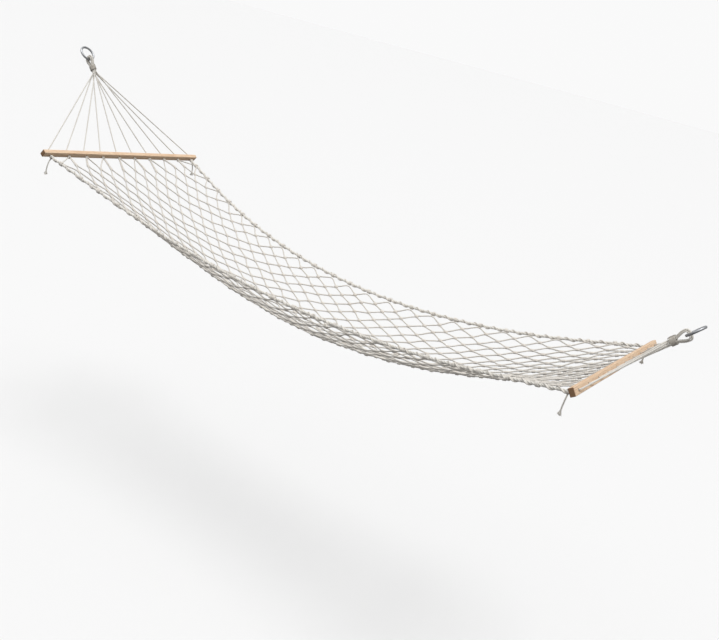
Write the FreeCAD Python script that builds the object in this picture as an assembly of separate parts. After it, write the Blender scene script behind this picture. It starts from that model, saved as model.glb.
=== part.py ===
"""Rope-net hammock with two wooden spreader bars, hung level between two steel rings.

Frame: origin at the centre of the head ring's eye, +X from the head ring to the foot ring,
+Y to the left of somebody who looks along +X, +Z up. All sizes are in millimetres.
"""
import FreeCAD, Part
import math
import os

os.makedirs("parts", exist_ok=True)
Vec = FreeCAD.Vector

# ---- steel rings -----------------------------------------------------------------------
RING_RADIUS = 28.0          # centre of the eye to the middle of the wire
WIRE_RADIUS = 4.0

# ---- how the hammock hangs -------------------------------------------------------------
HARNESS_SLOPE = math.radians(47.0)  # of both fans of cords, below the horizontal
HEAD_HARNESS = 464.0        # ring centre to bar centre at the head end
FOOT_HARNESS = 242.0        # the same at the foot end
BAR_SPACING = 2140.0        # bar centre to bar centre
EDGE_SAG = 187.0            # edge ropes below the bars at mid-length
BELLY_SAG = 138.0           # middle of the net below the edge ropes at mid-length
BELLY_POWER = 0.87          # how fast the belly deepens away from a bar
HALF_WIDTH_AT_BAR = 376.0   # middle of the net to an edge rope, beside a bar
WAIST = 140.0               # how much of that half width is lost at mid-length

# ---- spreader bars ---------------------------------------------------------------------
BAR_LENGTH = 800.0
BAR_WIDTH = 25.0            # the face with the holes
BAR_THICKNESS = 16.0        # along the holes
BAR_EDGE_ROUND = 2.0
BAR_TILT = math.radians(36.0)   # how far the holes point below the horizontal
HOLE_COUNT = 10
HOLE_PITCH = 82.0
HOLE_RADIUS = 4.5
CORD_COUNT = HOLE_COUNT // 2  # each harness cord uses two holes

# ---- cords -----------------------------------------------------------------------------
CORD_RADIUS = 2.5           # harness cord
MESH_CORD_RADIUS = 2.25     # net cord
EDGE_ROPE_RADIUS = 4.5
LAYER_PITCH = 5.2           # side by side in the bundle
LAYER_STEP = 4.9            # from the inner layer of bights to the outer layer
INNER_BIGHT_RADIUS = 12.2   # centre line of the inner bights where they turn over the wire
CROWN_GAP = 2.8             # between the inner bights and the wire, so that they can slide
BIGHT_END = 36.0            # from the ring centre, along the pull, to where the bights close in
NECK_START = 57.0           # and to where the binding starts
NECK_LENGTH = 20.0
BINDING_WALL = 2.5
BINDING_HALF_Y = 9.9        # inside of the binding, across the hammock
BINDING_HALF_N = 11.3       # inside of the binding, square to the fan of cords
FAN_LEAD = 10.0             # from the binding to the corner of each leg's bend
FAN_BEND = 14.0             # bend radius where a cord leaves the binding
NECK_BEND = 20.0            # bend radius on the way from the ring into the binding
HOLE_BEND = 8.0             # bend radius in front of a hole
HOLE_CORNER = 5.4           # where that bend's corner stands in front of the bar's face

# ---- knots, tails and net ---------------------------------------------------------------
KNOT_RADIUS = 7.0
EDGE_KNOT_RADIUS = 9.0
KNOT_CLEARANCE = 1.4        # between a knot and the bar's face, so that the bar can roll
KNOT_SOCKET = 5.0           # how far a cord reaches into its knot
SOCKET_PLAY = 0.05
SOCKET_DRILL = 10.0         # length of the cylinder that cuts a knot's socket
START_GAP = 0.3             # between two cords, or a cord and a knot, that lie side by side
ROPE_KNOT_GAP = 2.25        # between an edge rope's end and its knot
TAIL_RUN = 23.0             # one of the two straight runs of a loose tail
TAIL_TURN = math.radians(30.0)
NET_THICKNESS = 3.0
NET_END_GAP = 90.0          # from a bar's centre to where the closed net sheet begins
NET_EDGE_GAP = 0.6          # between the net sheet and an edge rope
NET_STATIONS = 25
NET_COLUMNS = 16
LOOP_SPREAD = 15.0          # half the opening of an end loop at the net
LOOP_ROOT_GAP = 1.8         # between a knot and the end loops tied to it
LOOP_TIP_GAP = 0.8          # between an end loop's tip and the net sheet
ROPE_FIRST_GAP = 90.0       # from a bar's centre to the first bend of an edge rope
ROPE_STATIONS = 13
BEND_SHARE = 0.45           # of its shorter run that a bend may use up
VOLUME_TOLERANCE = 0.005    # a cord's volume against its section times its length
JOIN_TOLERANCE = 1e-3

PULL = Vec(math.cos(HARNESS_SLOPE), 0, -math.sin(HARNESS_SLOPE))    # from ring to bar
HEAD_BAR = PULL * HEAD_HARNESS
MIDDLE_X = HEAD_BAR.x + BAR_SPACING / 2
ACROSS = Vec(0, 1, 0)
NORMAL = Vec(-PULL.z, 0, PULL.x)                    # square to the fan of cords, upward
HOLE_AXIS = Vec(math.cos(BAR_TILT), 0, -math.sin(BAR_TILT))
BAR_UP = Vec(math.sin(BAR_TILT), 0, math.cos(BAR_TILT))


def fan_point(harness, pull, across, normal):
    """A point given along the pull, across the hammock and square to the fan of one end.

    Both ends are built at the head bar; harness is that end's distance from ring to bar.
    """
    return HEAD_BAR + PULL * (pull - harness) + ACROSS * across + NORMAL * normal


def rounded_wire(points, radii, report=None):
    """Straight runs joined by tangent arcs; radii has one value for each inner point."""
    edges = []
    start = points[0]
    for before, corner, after, radius in zip(points, points[1:], points[2:], radii):
        inward = Vec(before - corner).normalize()
        outward = Vec(after - corner).normalize()
        half_turn = (math.pi - inward.getAngle(outward)) / 2
        setback = radius * math.tan(half_turn)
        first, last = corner + inward * setback, corner + outward * setback
        bisector = Vec(inward + outward).normalize()
        middle = corner + bisector * (radius / math.cos(half_turn) - radius)
        if (first - start).Length > JOIN_TOLERANCE:
            edges.append(Part.LineSegment(start, first).toShape())
        edges.append(Part.Arc(first, middle, last).toShape())
        start = last
        if report is not None:
            report.append(radius)
    edges.append(Part.LineSegment(start, points[-1]).toShape())
    return Part.Wire(edges)


def tube(wire, radius):
    """A round cord along a wire: a cylinder for each run and a piece of torus for each arc."""
    first = wire.Edges[0]
    start, direction = first.valueAt(first.FirstParameter), first.tangentAt(first.FirstParameter)
    rim = Part.makeCircle(radius, start, direction)
    faces = [Part.Face(Part.Wire(rim))]
    for edge in wire.Edges:
        start, end = edge.valueAt(edge.FirstParameter), edge.valueAt(edge.LastParameter)
        next_rim = rim.copy()
        if isinstance(edge.Curve, Part.Circle):
            centre = edge.Curve.Center
            hinge = Vec(start - centre).cross(end - centre)
            turn = math.degrees(Vec(start - centre).getAngle(end - centre))
            faces.extend(rim.revolve(centre, hinge, turn).Faces)
            next_rim.rotate(centre, hinge, turn)
        else:
            faces.extend(rim.extrude(end - start).Faces)
            next_rim.translate(end - start)
        rim = next_rim
    faces.append(Part.Face(Part.Wire(rim)))
    skin = Part.makeCompound(faces)
    skin.sewShape()
    cord = Part.makeSolid(skin.Shells[0] if skin.Shells else skin)
    if cord.Volume < 0:
        cord.reverse()
    volume, expected = cord.Volume, math.pi * radius ** 2 * wire.Length
    if not cord.isValid() or abs(volume / expected - 1) > VOLUME_TOLERANCE:
        print("WARNING: cord is", round(volume / expected, 3), "of section x length")
    return cord


def runs_wire(points, report=None):
    """Like rounded_wire, with each bend as wide as its shorter run allows."""
    radii = []
    for before, corner, after in zip(points, points[1:], points[2:]):
        half_turn = (math.pi - Vec(before - corner).getAngle(after - corner)) / 2
        shorter = min((before - corner).Length, (after - corner).Length)
        radii.append(BEND_SHARE * shorter / math.tan(half_turn))
    return rounded_wire(points, radii, report)


def hole_y(index):
    """Position of a hole across the hammock, 0 to HOLE_COUNT - 1."""
    return (index - (HOLE_COUNT - 1) / 2) * HOLE_PITCH


def is_outer(index):
    """True for the holes that the edge ropes use."""
    return index in (0, HOLE_COUNT - 1)


def knot_radius(index):
    """Radius of the stopper knot at a hole."""
    return EDGE_KNOT_RADIUS if is_outer(index) else KNOT_RADIUS


def knot_centre(index):
    """Centre of the stopper knot on the net side of a hole."""
    reach = BAR_THICKNESS / 2 + KNOT_CLEARANCE + knot_radius(index)
    return HEAD_BAR + ACROSS * hole_y(index) + HOLE_AXIS * reach


def make_ring(harness):
    """A ring, lying in the plane of its fan of cords."""
    return Part.makeTorus(RING_RADIUS, WIRE_RADIUS, fan_point(harness, 0, 0, 0), NORMAL)


def make_bar():
    """The head bar with its row of holes."""
    corner = HEAD_BAR - ACROSS * (BAR_LENGTH / 2) - HOLE_AXIS * (BAR_THICKNESS / 2)
    corner = corner - BAR_UP * (BAR_WIDTH / 2)
    bar = Part.makeBox(BAR_THICKNESS, BAR_LENGTH, BAR_WIDTH)
    bar = bar.makeFillet(BAR_EDGE_ROUND, bar.Edges)
    bar.rotate(Vec(0, 0, 0), ACROSS, math.degrees(BAR_TILT))
    bar.translate(corner)
    drills = []
    for index in range(HOLE_COUNT):
        start = HEAD_BAR + ACROSS * hole_y(index) - HOLE_AXIS * BAR_THICKNESS
        drills.append(Part.makeCylinder(HOLE_RADIUS, 2 * BAR_THICKNESS, start, HOLE_AXIS))
    return bar.cut(drills)


def leg_points(harness, index, across, neck_normal, bight_normal, crown):
    """Corners of one cord leg, from its knot to the crown of its bight over the ring."""
    on_axis = HEAD_BAR + ACROSS * hole_y(index)
    end = knot_centre(index) - HOLE_AXIS * (knot_radius(index) - KNOT_SOCKET)
    return [
        end,
        on_axis - HOLE_AXIS * (BAR_THICKNESS / 2 + HOLE_CORNER),
        fan_point(harness, NECK_START + NECK_LENGTH + FAN_LEAD, across, neck_normal),
        fan_point(harness, NECK_START, across, neck_normal),
        fan_point(harness, BIGHT_END, across, bight_normal),
        fan_point(harness, crown, across, bight_normal),
    ]


LEG_RADII = [HOLE_BEND, FAN_BEND, NECK_BEND, NECK_BEND]


def make_harness_cord(harness, loop, report):
    """One harness cord: two legs and the bight over the ring. loop runs from 0 to 4."""
    middle = CORD_COUNT // 2
    across = (loop - middle) * LAYER_PITCH / 2
    layer = loop % 2                                   # 0 lies on the wire, 1 on the others
    bight = INNER_BIGHT_RADIUS + layer * LAYER_STEP
    neck = LAYER_PITCH / 2 + layer * LAYER_STEP
    inner_crown = RING_RADIUS - WIRE_RADIUS - CROWN_GAP - CORD_RADIUS
    crown = inner_crown - layer * LAYER_STEP
    upper, lower = (2 * loop, 2 * loop + 1) if loop <= middle else (2 * loop + 1, 2 * loop)
    first = leg_points(harness, upper, across, neck, bight, crown)
    second = leg_points(harness, lower, across, -neck, -bight, crown)
    points = first + second[::-1]
    radii = LEG_RADII + [bight, bight] + LEG_RADII[::-1]
    return tube(rounded_wire(points, radii, report), CORD_RADIUS)


def make_binding(harness):
    """The twine bound round the ten legs below the ring, as an oval sleeve."""
    sleeves = []
    for wall in (BINDING_WALL, 0.0):
        half_n, half_y = BINDING_HALF_N + wall, BINDING_HALF_Y + wall
        start = fan_point(harness, NECK_START, 0, 0)
        oval = Part.Ellipse(start + NORMAL * half_n, start + ACROSS * half_y, start).toShape()
        sleeves.append(Part.Face(Part.Wire(oval)).extrude(PULL * NECK_LENGTH))
    return sleeves[0].cut(sleeves[1])


def make_knots():
    """The stopper knots on the net side of the bar, one solid for each hole."""
    knots = []
    for index in range(HOLE_COUNT):
        centre, radius = knot_centre(index), knot_radius(index)
        socket = Part.makeCylinder(CORD_RADIUS + SOCKET_PLAY, SOCKET_DRILL,
                                   centre - HOLE_AXIS * (radius + KNOT_SOCKET), HOLE_AXIS)
        knots.append(Part.makeSphere(radius, centre).cut(socket))
    return Part.makeCompound(knots)


def half_width(along):
    """Half the width of the bed; along is -1 at the head bar and +1 at the foot bar."""
    return HALF_WIDTH_AT_BAR - WAIST * (1 - along ** 2)


def bed_z(along, across):
    """Height of the bed; across is -1 and +1 at the edge ropes."""
    dip = 1 - along ** 2
    return HEAD_BAR.z - EDGE_SAG * dip - BELLY_SAG * dip ** BELLY_POWER * (1 - across ** 2)


def bed_point(along, across, inset=0.0):
    """A point of the bed's middle surface; inset is taken off the half width."""
    x = MIDDLE_X + along * BAR_SPACING / 2
    return Vec(x, across * (half_width(along) - inset), bed_z(along, across))


def make_edge_rope(side, report):
    """The thick rope along one edge, from the head knot to the foot knot."""
    index = 0 if side < 0 else HOLE_COUNT - 1
    centre = knot_centre(index)
    reach = 1 - 2 * ROPE_FIRST_GAP / BAR_SPACING
    inner = [bed_point(reach * (2 * i / (ROPE_STATIONS - 1) - 1), side)
             for i in range(ROPE_STATIONS)]
    toward = Vec(inner[0] - centre).normalize()
    head = centre + toward * (EDGE_KNOT_RADIUS + ROPE_KNOT_GAP)
    foot = Vec(2 * MIDDLE_X - head.x, head.y, head.z)
    return tube(runs_wire([head] + inner + [foot], report), EDGE_ROPE_RADIUS)


def make_net():
    """The closed sheet that stands for the knotted net."""
    first = 1 - 2 * NET_END_GAP / BAR_SPACING
    inset = EDGE_ROPE_RADIUS + NET_EDGE_GAP
    sections = []
    for i in range(NET_STATIONS):
        along = first * (2 * i / (NET_STATIONS - 1) - 1)
        row = [bed_point(along, 2 * j / NET_COLUMNS - 1, inset) for j in range(NET_COLUMNS + 1)]
        lift = Vec(0, 0, NET_THICKNESS / 2)
        loop = [p + lift for p in row] + [p - lift for p in reversed(row)]
        sections.append(Part.makePolygon(loop + [loop[0]]))
    return Part.makeLoft(sections, True, True)


def make_end_loops():
    """The cords that open out in a V from each inner knot to the edge of the net."""
    first = 2 * NET_END_GAP / BAR_SPACING - 1
    reach = half_width(first) - EDGE_ROPE_RADIUS - NET_EDGE_GAP
    cords = []
    for index in range(1, HOLE_COUNT - 1):
        centre = knot_centre(index)
        middle = hole_y(index) / (hole_y(HOLE_COUNT - 1) + HOLE_PITCH / 2) * reach
        for side in (-1, 1):
            across = (middle + side * LOOP_SPREAD) / reach
            target = bed_point(first, across, EDGE_ROPE_RADIUS + NET_EDGE_GAP)
            start = centre + ACROSS * (side * (MESH_CORD_RADIUS + START_GAP))
            direction = Vec(target - start).normalize()
            root = start + direction * (KNOT_RADIUS + LOOP_ROOT_GAP)
            length = (target - root).Length - MESH_CORD_RADIUS - LOOP_TIP_GAP
            cords.append(Part.makeCylinder(MESH_CORD_RADIUS, length, root, direction))
    return Part.makeCompound(cords)


def make_tail(side, report):
    """The loose end of an edge rope's knot, hanging down beside the bar."""
    index = 0 if side < 0 else HOLE_COUNT - 1
    outward = Vec(0, side * math.sin(TAIL_TURN), -math.cos(TAIL_TURN))
    down = Vec(0, 0, -1)
    start = knot_centre(index) + outward * (EDGE_KNOT_RADIUS + START_GAP)
    corner = start + outward * TAIL_RUN
    return tube(runs_wire([start, corner, corner + down * TAIL_RUN], report), CORD_RADIUS)


def to_foot(shape):
    """The same shape at the foot end."""
    return shape.mirror(Vec(MIDDLE_X, 0, 0), Vec(1, 0, 0))


def make_end(harness, harness_radii, tail_radii):
    """Every piece of one end, built at the head bar."""
    end = {"ring": make_ring(harness), "spreader_bar": make_bar(), "binding": make_binding(harness),
           "stopper_knots": make_knots(), "net_end_loops": make_end_loops()}
    for loop in range(CORD_COUNT):
        end[f"harness_cord_{loop + 1}"] = make_harness_cord(harness, loop, harness_radii)
    for side, word in ((-1, "right"), (1, "left")):
        end[f"{word}_tail"] = make_tail(side, tail_radii)
    return end


def build():
    """Build every node and return them by name."""
    harness_radii, rope_radii, tail_radii = [], [], []
    nodes = {}
    for name, shape in make_end(HEAD_HARNESS, harness_radii, tail_radii).items():
        nodes[f"head_{name}"] = shape
    for name, shape in make_end(FOOT_HARNESS, harness_radii, tail_radii).items():
        nodes[f"foot_{name}"] = to_foot(shape)
    for side, word in ((-1, "right"), (1, "left")):
        nodes[f"{word}_edge_rope"] = make_edge_rope(side, rope_radii)
    nodes["bed_net"] = make_net()
    for words, radii in (("harness", harness_radii), ("edge rope", rope_radii), ("tail", tail_radii)):
        print(words, "bend radii:", round(min(radii), 1), "to", round(max(radii), 1))
    return nodes


for node_name, solid in sorted(build().items()):
    solid.exportStep(f"parts/{node_name}.step")
    box = solid.BoundBox
    print(f"{node_name:24s} {len(solid.Solids):3d} solids  valid {solid.isValid()}  "
          f"{solid.Volume / 1000:9.2f} cm3  x {box.XMin:8.1f} {box.XMax:8.1f}  "
          f"y {box.YMin:7.1f} {box.YMax:7.1f}  z {box.ZMin:7.1f} {box.ZMax:7.1f}")
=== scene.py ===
import logging
import math
import random
from dataclasses import dataclass, field
from enum import Enum
from typing import Iterable, Sequence

import bmesh
import bpy
import numpy as np
from mathutils import Matrix, Vector


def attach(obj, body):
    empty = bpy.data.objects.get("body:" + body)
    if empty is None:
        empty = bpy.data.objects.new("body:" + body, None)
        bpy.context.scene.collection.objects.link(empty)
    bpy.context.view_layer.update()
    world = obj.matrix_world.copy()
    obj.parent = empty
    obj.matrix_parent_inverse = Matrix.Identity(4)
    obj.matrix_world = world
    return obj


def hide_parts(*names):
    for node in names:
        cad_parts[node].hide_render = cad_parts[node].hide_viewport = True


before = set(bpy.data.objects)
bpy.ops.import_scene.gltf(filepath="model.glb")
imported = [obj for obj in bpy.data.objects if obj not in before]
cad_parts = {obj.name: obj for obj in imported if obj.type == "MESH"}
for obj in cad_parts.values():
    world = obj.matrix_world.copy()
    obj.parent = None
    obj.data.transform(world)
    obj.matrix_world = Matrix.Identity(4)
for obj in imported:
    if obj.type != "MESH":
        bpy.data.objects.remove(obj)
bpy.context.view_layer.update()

BED_BODY = "hammock_bed"
log = logging.getLogger("hammock")

Line = np.ndarray


class End(Enum):
    """The two ends of the hammock; the value is the first word of that end's nodes."""

    HEAD = "head"
    FOOT = "foot"


class Side(Enum):
    """The two long edges; the value is the word in that edge's nodes."""

    RIGHT = "right"
    LEFT = "left"

    @property
    def sign(self) -> int:
        """-1 for the edge on the low Y side, +1 for the other."""
        return -1 if self is Side.RIGHT else 1


class Twist(Enum):
    """Which way the strands of a rope wind."""

    RIGHT_LAID = 1
    LEFT_LAID = -1


# ---------------------------------------------------------------- shader building blocks


class NodeBoard:
    """Adds and wires nodes in one node tree."""

    def __init__(self, tree: bpy.types.NodeTree) -> None:
        """Keep the tree that the nodes go into."""
        self.tree = tree

    def add(self, kind: str, **values: object) -> bpy.types.Node:
        """Add a node and set its properties and inputs.

        Args:
            kind: the node's type name.
            values: property names, or input names with underscores for spaces.

        Returns:
            The new node.
        """
        node = self.tree.nodes.new(kind)
        for key, value in values.items():
            if hasattr(node, key):
                setattr(node, key, value)
            else:
                node.inputs[key.replace("_", " ")].default_value = value
        return node

    def wire(self, source: bpy.types.NodeSocket, target: bpy.types.NodeSocket) -> None:
        """Link an output to an input."""
        self.tree.links.new(source, target)

    def math(self, operation: str, first: object, second: object = 0.0) -> bpy.types.NodeSocket:
        """Add a Math node.

        Args:
            operation: the node's operation.
            first: a socket or a number.
            second: a socket or a number.

        Returns:
            The node's output.
        """
        node = self.add("ShaderNodeMath", operation=operation)
        for slot, value in zip(node.inputs, (first, second)):
            if isinstance(value, bpy.types.NodeSocket):
                self.wire(value, slot)
            else:
                slot.default_value = float(value)
        return node.outputs[0]

    def blend(self, amount: object, first: object, second: object) -> bpy.types.NodeSocket:
        """Mix two colours.

        Args:
            amount: a socket or a number from 0 to 1.
            first: a socket or an RGB triple.
            second: a socket or an RGB triple.

        Returns:
            The mixed colour.
        """
        node = self.add("ShaderNodeMix", data_type="RGBA")
        for slot, value in ((node.inputs[0], amount), (node.inputs[6], first), (node.inputs[7], second)):
            if isinstance(value, bpy.types.NodeSocket):
                self.wire(value, slot)
            elif isinstance(value, tuple):
                slot.default_value = (*value, 1.0)
            else:
                slot.default_value = float(value)
        return node.outputs[2]


def new_group(
    name: str, inputs: dict[str, float | tuple[float, float, float]], outputs: dict[str, str]
) -> tuple[NodeBoard, bpy.types.NodeGroupInput, bpy.types.NodeGroupOutput]:
    """Start a shader node group.

    Args:
        name: the group's name.
        inputs: each input's name and its default, a number or an RGB triple.
        outputs: each output's name and its socket type.

    Returns:
        The board, the group's input node and its output node.
    """
    tree = bpy.data.node_groups.new(name, "ShaderNodeTree")
    for key, value in inputs.items():
        kind = "NodeSocketColor" if isinstance(value, tuple) else "NodeSocketFloat"
        socket = tree.interface.new_socket(key, in_out="INPUT", socket_type=kind)
        socket.default_value = (*value, 1.0) if isinstance(value, tuple) else value
    for key, kind in outputs.items():
        tree.interface.new_socket(key, in_out="OUTPUT", socket_type=kind)
    board = NodeBoard(tree)
    return board, board.add("NodeGroupInput"), board.add("NodeGroupOutput")


class EffectLibrary:
    """The shader node groups that the finishes share, each built once."""

    def __init__(self) -> None:
        """Build every group."""
        self.fibres = self._build_fibres()
        self.lay = self._build_lay()
        self.grain = self._build_grain()
        self.patina = self._build_patina()

    @staticmethod
    def _build_fibres() -> bpy.types.NodeTree:
        """Spun cotton: soft colour drift, darker flecks of seed and a fuzzy height."""
        board, source, sink = new_group(
            "spun_fibres",
            {"Light": (0.9, 0.9, 0.9), "Dark": (0.7, 0.7, 0.7), "Fleck": (0.4, 0.3, 0.2),
             "Drift Scale": 9.0, "Fibre Scale": 900.0},
            {"Color": "NodeSocketColor", "Height": "NodeSocketFloat", "Roughness": "NodeSocketFloat"})
        drift_share, fibre_share, paler = 0.9, 0.45, 0.25
        fleck_size, fleck_strength = 0.07, 0.35
        smoothest, fuzz_share = 0.8, 0.15
        place = board.add("ShaderNodeTexCoord").outputs["Object"]
        drift = board.add("ShaderNodeTexNoise", Detail=4.0, Roughness=0.6)
        fibre = board.add("ShaderNodeTexNoise", Detail=3.0, Roughness=0.7, Distortion=1.5)
        fleck = board.add("ShaderNodeTexVoronoi", Scale=160.0, Randomness=1.0)
        for node in (drift, fibre, fleck):
            board.wire(place, node.inputs["Vector"])
        board.wire(source.outputs["Drift Scale"], drift.inputs["Scale"])
        board.wire(source.outputs["Fibre Scale"], fibre.inputs["Scale"])
        amount = board.math("ADD", board.math("MULTIPLY", drift.outputs["Fac"], drift_share),
                            board.math("MULTIPLY", fibre.outputs["Fac"], fibre_share))
        amount = board.math("SUBTRACT", amount, paler)
        cotton = board.blend(amount, source.outputs["Light"], source.outputs["Dark"])
        spots = board.math("LESS_THAN", fleck.outputs["Distance"], fleck_size)
        seeds = board.math("MULTIPLY", spots, fleck_strength)
        speckled = board.blend(seeds, cotton, source.outputs["Fleck"])
        board.wire(speckled, sink.inputs["Color"])
        board.wire(fibre.outputs["Fac"], sink.inputs["Height"])
        rough = board.math("ADD", board.math("MULTIPLY", fibre.outputs["Fac"], fuzz_share), smoothest)
        board.wire(rough, sink.inputs["Roughness"])
        return board.tree

    @staticmethod
    def _build_lay() -> bpy.types.NodeTree:
        """Strands that wind along a tube, from its own UV map: U runs along it, V round it; it gives a
        height for the ridges and an amount of painted shade for the grooves between them.
        """
        board, source, sink = new_group(
            "rope_lay", {"Turns": 20.0, "Strands": 3.0},
            {"Painted Groove Shade": "NodeSocketFloat", "Height": "NodeSocketFloat"})
        strand_fullness = 0.6
        split = board.add("ShaderNodeSeparateXYZ")
        board.wire(board.add("ShaderNodeTexCoord").outputs["UV"], split.inputs[0])
        along = board.math("MULTIPLY", split.outputs[0], source.outputs["Turns"])
        phase = board.math("MULTIPLY", board.math("ADD", along, split.outputs[1]),
                           source.outputs["Strands"])
        wave = board.math("ABSOLUTE", board.math("SINE", board.math("MULTIPLY", phase, math.pi)))
        height = board.math("POWER", wave, strand_fullness)
        board.wire(height, sink.inputs["Height"])
        # the grooves between strands get painted shade, not a darker cotton
        board.wire(board.math("SUBTRACT", 1.0, height), sink.inputs["Painted Groove Shade"])
        return board.tree

    @staticmethod
    def _build_grain() -> bpy.types.NodeTree:
        """Pine sawn along Y: growth bands, fine pores and a few knots."""
        board, source, sink = new_group(
            "pine_grain",
            {"Spring": (0.85, 0.7, 0.45), "Summer": (0.65, 0.45, 0.25), "Knot": (0.35, 0.2, 0.1),
             "Shift": 0.0},
            {"Color": "NodeSocketColor", "Height": "NodeSocketFloat", "Roughness": "NodeSocketFloat"})
        band_count, band_wander, band_edge = 7.0, 2.0, 2.5
        knot_size, knot_strength = 0.035, 0.7
        late_height, smoothest, pore_share = 0.5, 0.5, 0.2
        place = board.add("ShaderNodeTexCoord").outputs["Object"]
        offset = board.add("ShaderNodeCombineXYZ")
        board.wire(source.outputs["Shift"], offset.inputs[1])
        moved = board.add("ShaderNodeVectorMath", operation="ADD")
        board.wire(place, moved.inputs[0])
        board.wire(offset.outputs[0], moved.inputs[1])
        warp = board.add("ShaderNodeTexNoise", Scale=3.0, Detail=2.0)
        board.wire(moved.outputs[0], warp.inputs["Vector"])
        # the figure runs along Y
        stretched = board.add("ShaderNodeMapping")
        stretched.inputs["Scale"].default_value = (60.0, 2.2, 60.0)
        board.wire(moved.outputs[0], stretched.inputs["Vector"])
        bands = board.add("ShaderNodeTexNoise", Scale=2.4, Detail=3.0, Roughness=0.55, Distortion=0.6)
        board.wire(stretched.outputs[0], bands.inputs["Vector"])
        grown = board.math("ADD", board.math("MULTIPLY", bands.outputs["Fac"], band_count),
                           board.math("MULTIPLY", warp.outputs["Fac"], band_wander))
        late = board.math("POWER", board.math("FRACT", grown), band_edge)
        pores = board.add("ShaderNodeTexNoise", Scale=26.0, Detail=2.0)
        board.wire(stretched.outputs[0], pores.inputs["Vector"])
        wood = board.blend(late, source.outputs["Spring"], source.outputs["Summer"])
        spots = board.add("ShaderNodeTexVoronoi", Scale=5.5)
        board.wire(moved.outputs[0], spots.inputs["Vector"])
        near = board.math("LESS_THAN", spots.outputs["Distance"], knot_size)
        marked = board.blend(board.math("MULTIPLY", near, knot_strength), wood, source.outputs["Knot"])
        board.wire(marked, sink.inputs["Color"])
        board.wire(board.math("ADD", board.math("MULTIPLY", late, late_height), pores.outputs["Fac"]),
                   sink.inputs["Height"])
        board.wire(board.math("ADD", board.math("MULTIPLY", pores.outputs["Fac"], pore_share), smoothest),
                   sink.inputs["Roughness"])
        return board.tree

    @staticmethod
    def _build_patina() -> bpy.types.NodeTree:
        """Dull plated metal: cloudy patches, fine scratches and rubbed spots."""
        board, source, sink = new_group(
            "plated_patina", {"Bright": (0.7, 0.7, 0.72), "Dull": (0.4, 0.4, 0.42)},
            {"Color": "NodeSocketColor", "Height": "NodeSocketFloat", "Roughness": "NodeSocketFloat"})
        smoothest, cloud_share = 0.2, 0.35
        place = board.add("ShaderNodeTexCoord").outputs["Object"]
        clouds = board.add("ShaderNodeTexNoise", Scale=70.0, Detail=5.0, Roughness=0.65)
        scratch = board.add("ShaderNodeTexNoise", Scale=900.0, Detail=2.0, Distortion=3.0)
        for node in (clouds, scratch):
            board.wire(place, node.inputs["Vector"])
        tint = board.blend(clouds.outputs["Fac"], source.outputs["Bright"], source.outputs["Dull"])
        board.wire(tint, sink.inputs["Color"])
        board.wire(scratch.outputs["Fac"], sink.inputs["Height"])
        board.wire(board.math("ADD", board.math("MULTIPLY", clouds.outputs["Fac"], cloud_share), smoothest),
                   sink.inputs["Roughness"])
        return board.tree


EFFECTS = EffectLibrary()


# ---------------------------------------------------------------- finishes


def start_material(name: str) -> tuple[NodeBoard, bpy.types.Node, bpy.types.Material]:
    """Make a material with nothing in it but its shader.

    Args:
        name: the material's name.

    Returns:
        The board, the Principled shader and the material.
    """
    material = bpy.data.materials.new(name)
    material.use_nodes = True
    board = NodeBoard(material.node_tree)
    return board, material.node_tree.nodes["Principled BSDF"], material


def place_group(board: NodeBoard, tree: bpy.types.NodeTree, **values: object) -> bpy.types.Node:
    """Place a shared effect in a material.

    Args:
        board: where it goes.
        tree: the effect.
        values: its inputs, with underscores for spaces.

    Returns:
        The group node.
    """
    node = board.add("ShaderNodeGroup")
    node.node_tree = tree
    for key, value in values.items():
        value = (*value, 1.0) if isinstance(value, tuple) else value
        node.inputs[key.replace("_", " ")].default_value = value
    return node


@dataclass(frozen=True)
class CottonFinish:
    """Spun cotton, on laid rope or, with lay_turns, on a plain tube that has to look laid, with bumped
    ridges and painted shade darkening the grooves between them.
    """

    name: str
    light: tuple[float, float, float] = (0.93, 0.91, 0.86)
    dark: tuple[float, float, float] = (0.76, 0.71, 0.63)
    fleck: tuple[float, float, float] = (0.35, 0.26, 0.16)
    # painted shade for the grooves between strands, and how strongly it darkens them
    painted_groove_shade: tuple[float, float, float] = (0.44, 0.37, 0.30)
    painted_groove_shade_depth: float = 0.7
    lay_turns: float = 0.0
    strands: int = 3

    def build(self) -> bpy.types.Material:
        """Build the material."""
        board, shader, material = start_material(self.name)
        fibres = place_group(board, EFFECTS.fibres, Light=self.light, Dark=self.dark, Fleck=self.fleck)
        colour = fibres.outputs["Color"]
        fuzz = board.add("ShaderNodeBump", Strength=0.7, Distance=0.0012)
        board.wire(fibres.outputs["Height"], fuzz.inputs["Height"])
        normal = fuzz.outputs[0]
        if self.lay_turns:
            lay = place_group(board, EFFECTS.lay, Turns=self.lay_turns, Strands=float(self.strands))
            # paint shade into the grooves between the strands
            painted_groove_shade = board.math("MULTIPLY", lay.outputs["Painted Groove Shade"], self.painted_groove_shade_depth)
            colour = board.blend(painted_groove_shade, colour, self.painted_groove_shade)
            ridges = board.add("ShaderNodeBump", Strength=0.9, Distance=0.0012)
            board.wire(lay.outputs["Height"], ridges.inputs["Height"])
            board.wire(normal, ridges.inputs["Normal"])
            normal = ridges.outputs[0]
        board.wire(colour, shader.inputs["Base Color"])
        board.wire(fibres.outputs["Roughness"], shader.inputs["Roughness"])
        board.wire(normal, shader.inputs["Normal"])
        shader.inputs["Specular IOR Level"].default_value = 0.25
        shader.inputs["Sheen Weight"].default_value = 0.35
        shader.inputs["Sheen Roughness"].default_value = 0.6
        return material


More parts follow.
